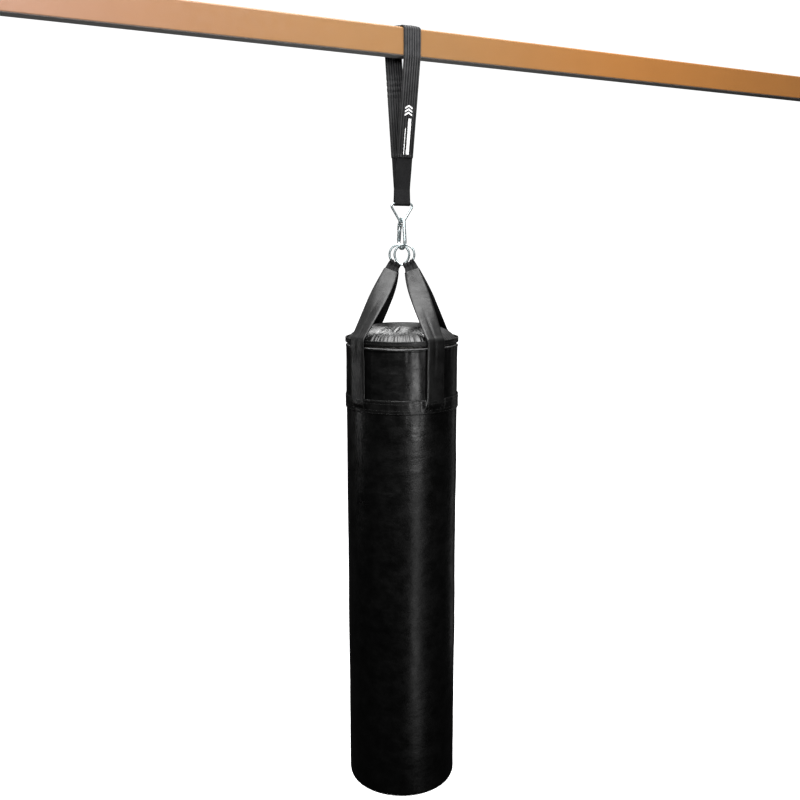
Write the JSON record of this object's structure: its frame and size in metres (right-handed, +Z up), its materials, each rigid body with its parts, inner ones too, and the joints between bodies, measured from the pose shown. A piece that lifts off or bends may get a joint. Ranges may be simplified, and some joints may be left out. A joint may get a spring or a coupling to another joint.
{
  "type": "hanging punching bag with crossbeam",
  "caption": "Long cylindrical black vinyl punching bag hung by covered straps, rings, a snap hook and a webbing loop from an orange steel crossbeam",
  "frame": {"origin": "lowest point of the bag, on the bag's axis, which is the middle of the base of the bounding box", "axes": "+Z up, +X along the crossbeam, -Y the bag's front"},
  "size_m": [3, 0.324, 2.0747],
  "materials": {
    "orange_paint": "satin orange paint, slightly worn, with a grey underside",
    "black_webbing": "black woven nylon webbing",
    "sleeve_webbing": "charcoal ribbed webbing sleeve with greyish wear",
    "zinc_plate": "bright zinc plate",
    "black_vinyl": "smooth satin black vinyl with stitched seams",
    "grey_foam": "open-cell foam sheet",
    "textile_filling": "packed textile shreds"
  },
  "bodies": {
    "beam": {"crossbeam": "orange_paint", "strap_over_beam": "black_webbing", "sleeve_over_beam": "sleeve_webbing"},
    "hanger": {"hanger_strap": "black_webbing", "sleeve_front": "sleeve_webbing", "sleeve_back": "sleeve_webbing"},
    "delta": {"delta_ring": "zinc_plate"},
    "hook": {"hook_body": "zinc_plate", "gate_pin": "zinc_plate", "gate_spring": "zinc_plate"},
    "gate": {"hook_gate": "zinc_plate"},
    "bag": {"ring_left": "zinc_plate", "ring_right": "zinc_plate", "band_left": "black_webbing", "band_right": "black_webbing", "cover_left_front": "black_vinyl", "cover_left_back": "black_vinyl", "cover_right_front": "black_vinyl", "cover_right_back": "black_vinyl", "lid_panel": "black_vinyl", "rim_hem": "black_vinyl", "upper_collar": "black_vinyl", "seam_band": "black_vinyl", "lower_shell": "black_vinyl", "bottom_panel": "black_vinyl", "foam_lining": "grey_foam", "filling": "textile_filling"}
  },
  "joints": [
    {"name": "strap_swing", "type": "hinge", "parent": "beam", "child": "hanger", "pos_m": [0, 0, 1.99865], "axis": [1, 0, 0], "range_deg": [-20, 20]},
    {"name": "ring_pivot", "type": "hinge", "parent": "hanger", "child": "delta", "pos_m": [0, 0, 1.63165], "axis": [1, 0, 0], "range_deg": [-30, 30]},
    {"name": "hook_turn", "type": "hinge", "parent": "delta", "child": "hook", "pos_m": [0, 0, 1.59275], "axis": [0, 0, 1], "range_deg": [-25, 25]},
    {"name": "gate_open", "type": "hinge", "parent": "hook", "child": "gate", "pos_m": [0, 0.01332, 1.5746], "axis": [-1, 0, 0], "range_deg": [0, 25], "stiffness_Nm_per_rad": 0.2, "springref_deg": -17.19},
    {"name": "bag_tilt", "type": "hinge", "parent": "hook", "child": "bag", "pos_m": [0, 0, 1.51595], "axis": [0, 1, 0], "range_deg": [-15, 15]}
  ]
}
